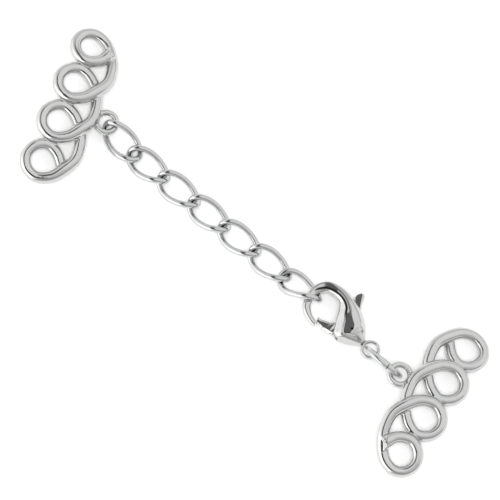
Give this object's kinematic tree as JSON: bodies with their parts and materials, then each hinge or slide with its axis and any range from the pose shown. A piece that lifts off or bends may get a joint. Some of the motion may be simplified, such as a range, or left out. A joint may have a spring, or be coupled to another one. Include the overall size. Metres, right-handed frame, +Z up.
{
  "type": "multi-strand clasp",
  "caption": "Multi-strand jewellery clasp: two arched end bars of wound loops joined by a curb extension chain, a lobster clasp and a jump ring.",
  "frame": {"origin": "middle of the set's footprint, on the surface it lies on", "axes": "+X along the chain from the chain-side bar to the clasp-side bar, +Y across the chain on the side of the lever's nub, +Z up"},
  "size_m": [0.0696, 0.0212, 0.0057],
  "materials": {
    "cast_plating": "cast zinc alloy with bright polished silver-tone plating",
    "wire_plating": "drawn wire with bright polished silver-tone plating",
    "pin_plating": "turned steel pin with riveted ends"
  },
  "bodies": {
    "clasp_set": {"chain_end_bar": "cast_plating", "clasp_end_bar": "cast_plating", "lobster_body": "cast_plating", "lever_pin": "pin_plating", "jump_ring": "wire_plating", "link_1": "wire_plating", "link_2": "wire_plating", "link_3": "wire_plating", "link_4": "wire_plating", "link_5": "wire_plating", "link_6": "wire_plating", "link_7": "wire_plating"},
    "lever": {"lobster_lever": "cast_plating"}
  },
  "joints": [
    {"name": "lever_pivot", "type": "hinge", "parent": "clasp_set", "child": "lever", "pos_m": [0.01713, 0.00028, 0.00177], "axis": [0, 0, -1], "range_deg": [0, 28], "stiffness_Nm_per_rad": 0.00002, "springref_deg": -5.73}
  ]
}
